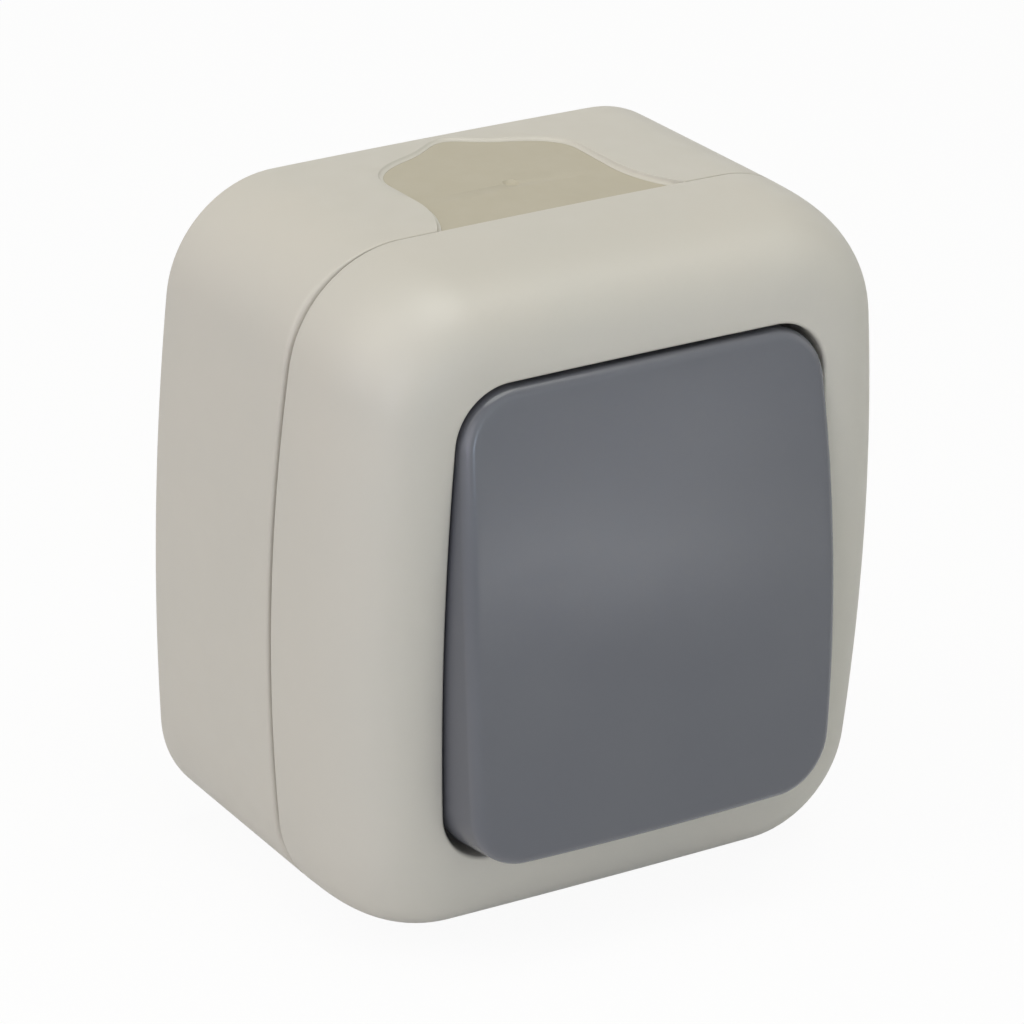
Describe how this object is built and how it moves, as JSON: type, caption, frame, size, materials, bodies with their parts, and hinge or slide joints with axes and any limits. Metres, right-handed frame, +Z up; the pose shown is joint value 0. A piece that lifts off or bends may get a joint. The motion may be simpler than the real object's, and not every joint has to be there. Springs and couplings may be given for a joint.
{
  "type": "surface mounted light switch",
  "caption": "Splash-proof surface mounted two-way rocker light switch with a softly rounded cover, a back box with soft cable entry seals, and the contact mechanism inside.",
  "frame": {"origin": "centre of the back face that lies on the wall", "axes": "+Y into the wall, square to the back face, +Z up, +X to the right of someone who looks at the switch"},
  "size_m": [0.066, 0.046, 0.0718],
  "materials": {
    "housing": "satin warm grey plastic",
    "rocker": "satin slate grey plastic",
    "entry_seal": "matte beige soft plastic",
    "gasket": "matte black rubber",
    "mechanism_plastic": "satin ivory plastic",
    "screw_steel": "zinc plated steel",
    "spring_steel": "drawn spring steel",
    "contact_bronze": "stamped bronze strip",
    "contact_silver": "silver contact tips",
    "terminal_brass": "machined brass"
  },
  "bodies": {
    "housing": {"back_box": "housing", "front_cover": "housing", "top_entry_seal": "entry_seal", "bottom_entry_seal": "entry_seal", "box_gasket": "gasket", "cover_screws": "screw_steel", "mechanism_base": "mechanism_plastic", "mechanism_screws": "screw_steel", "bearing_frame": "mechanism_plastic", "mechanism_seal": "gasket", "common_strip": "contact_bronze", "way_one_strip": "contact_bronze", "way_two_strip": "contact_bronze", "fixed_tips": "contact_silver", "common_terminal": "terminal_brass", "way_one_terminal": "terminal_brass", "way_two_terminal": "terminal_brass", "terminal_screws": "screw_steel", "earth_terminal": "terminal_brass", "earth_screw": "screw_steel"},
    "rocker": {"rocker": "rocker", "rocker_carrier": "mechanism_plastic", "plunger_spring": "spring_steel"},
    "plunger": {"plunger": "screw_steel"},
    "contact_arm": {"contact_arm": "contact_bronze", "arm_tips": "contact_silver"}
  },
  "joints": [
    {"name": "rocker_tilt", "type": "hinge", "parent": "housing", "child": "rocker", "pos_m": [0, -0.0383, 0], "axis": [1, 0, 0], "range_deg": [0, 13.2]},
    {"name": "plunger_slide", "type": "slide", "parent": "rocker", "child": "plunger", "axis": [0, -0.9934, 0.1149], "range_m": [0, 0.0008], "stiffness_N_per_m": 300, "springref_m": -0.002, "deforming": ["plunger_spring"]},
    {"name": "arm_rock", "type": "hinge", "parent": "housing", "child": "contact_arm", "pos_m": [0, -0.015, 0], "axis": [1, 0, 0], "range_deg": [-13.2, 0]}
  ],
  "couplings": [
    {"joint": "arm_rock", "follows": "rocker_tilt", "ratio": -1}
  ]
}
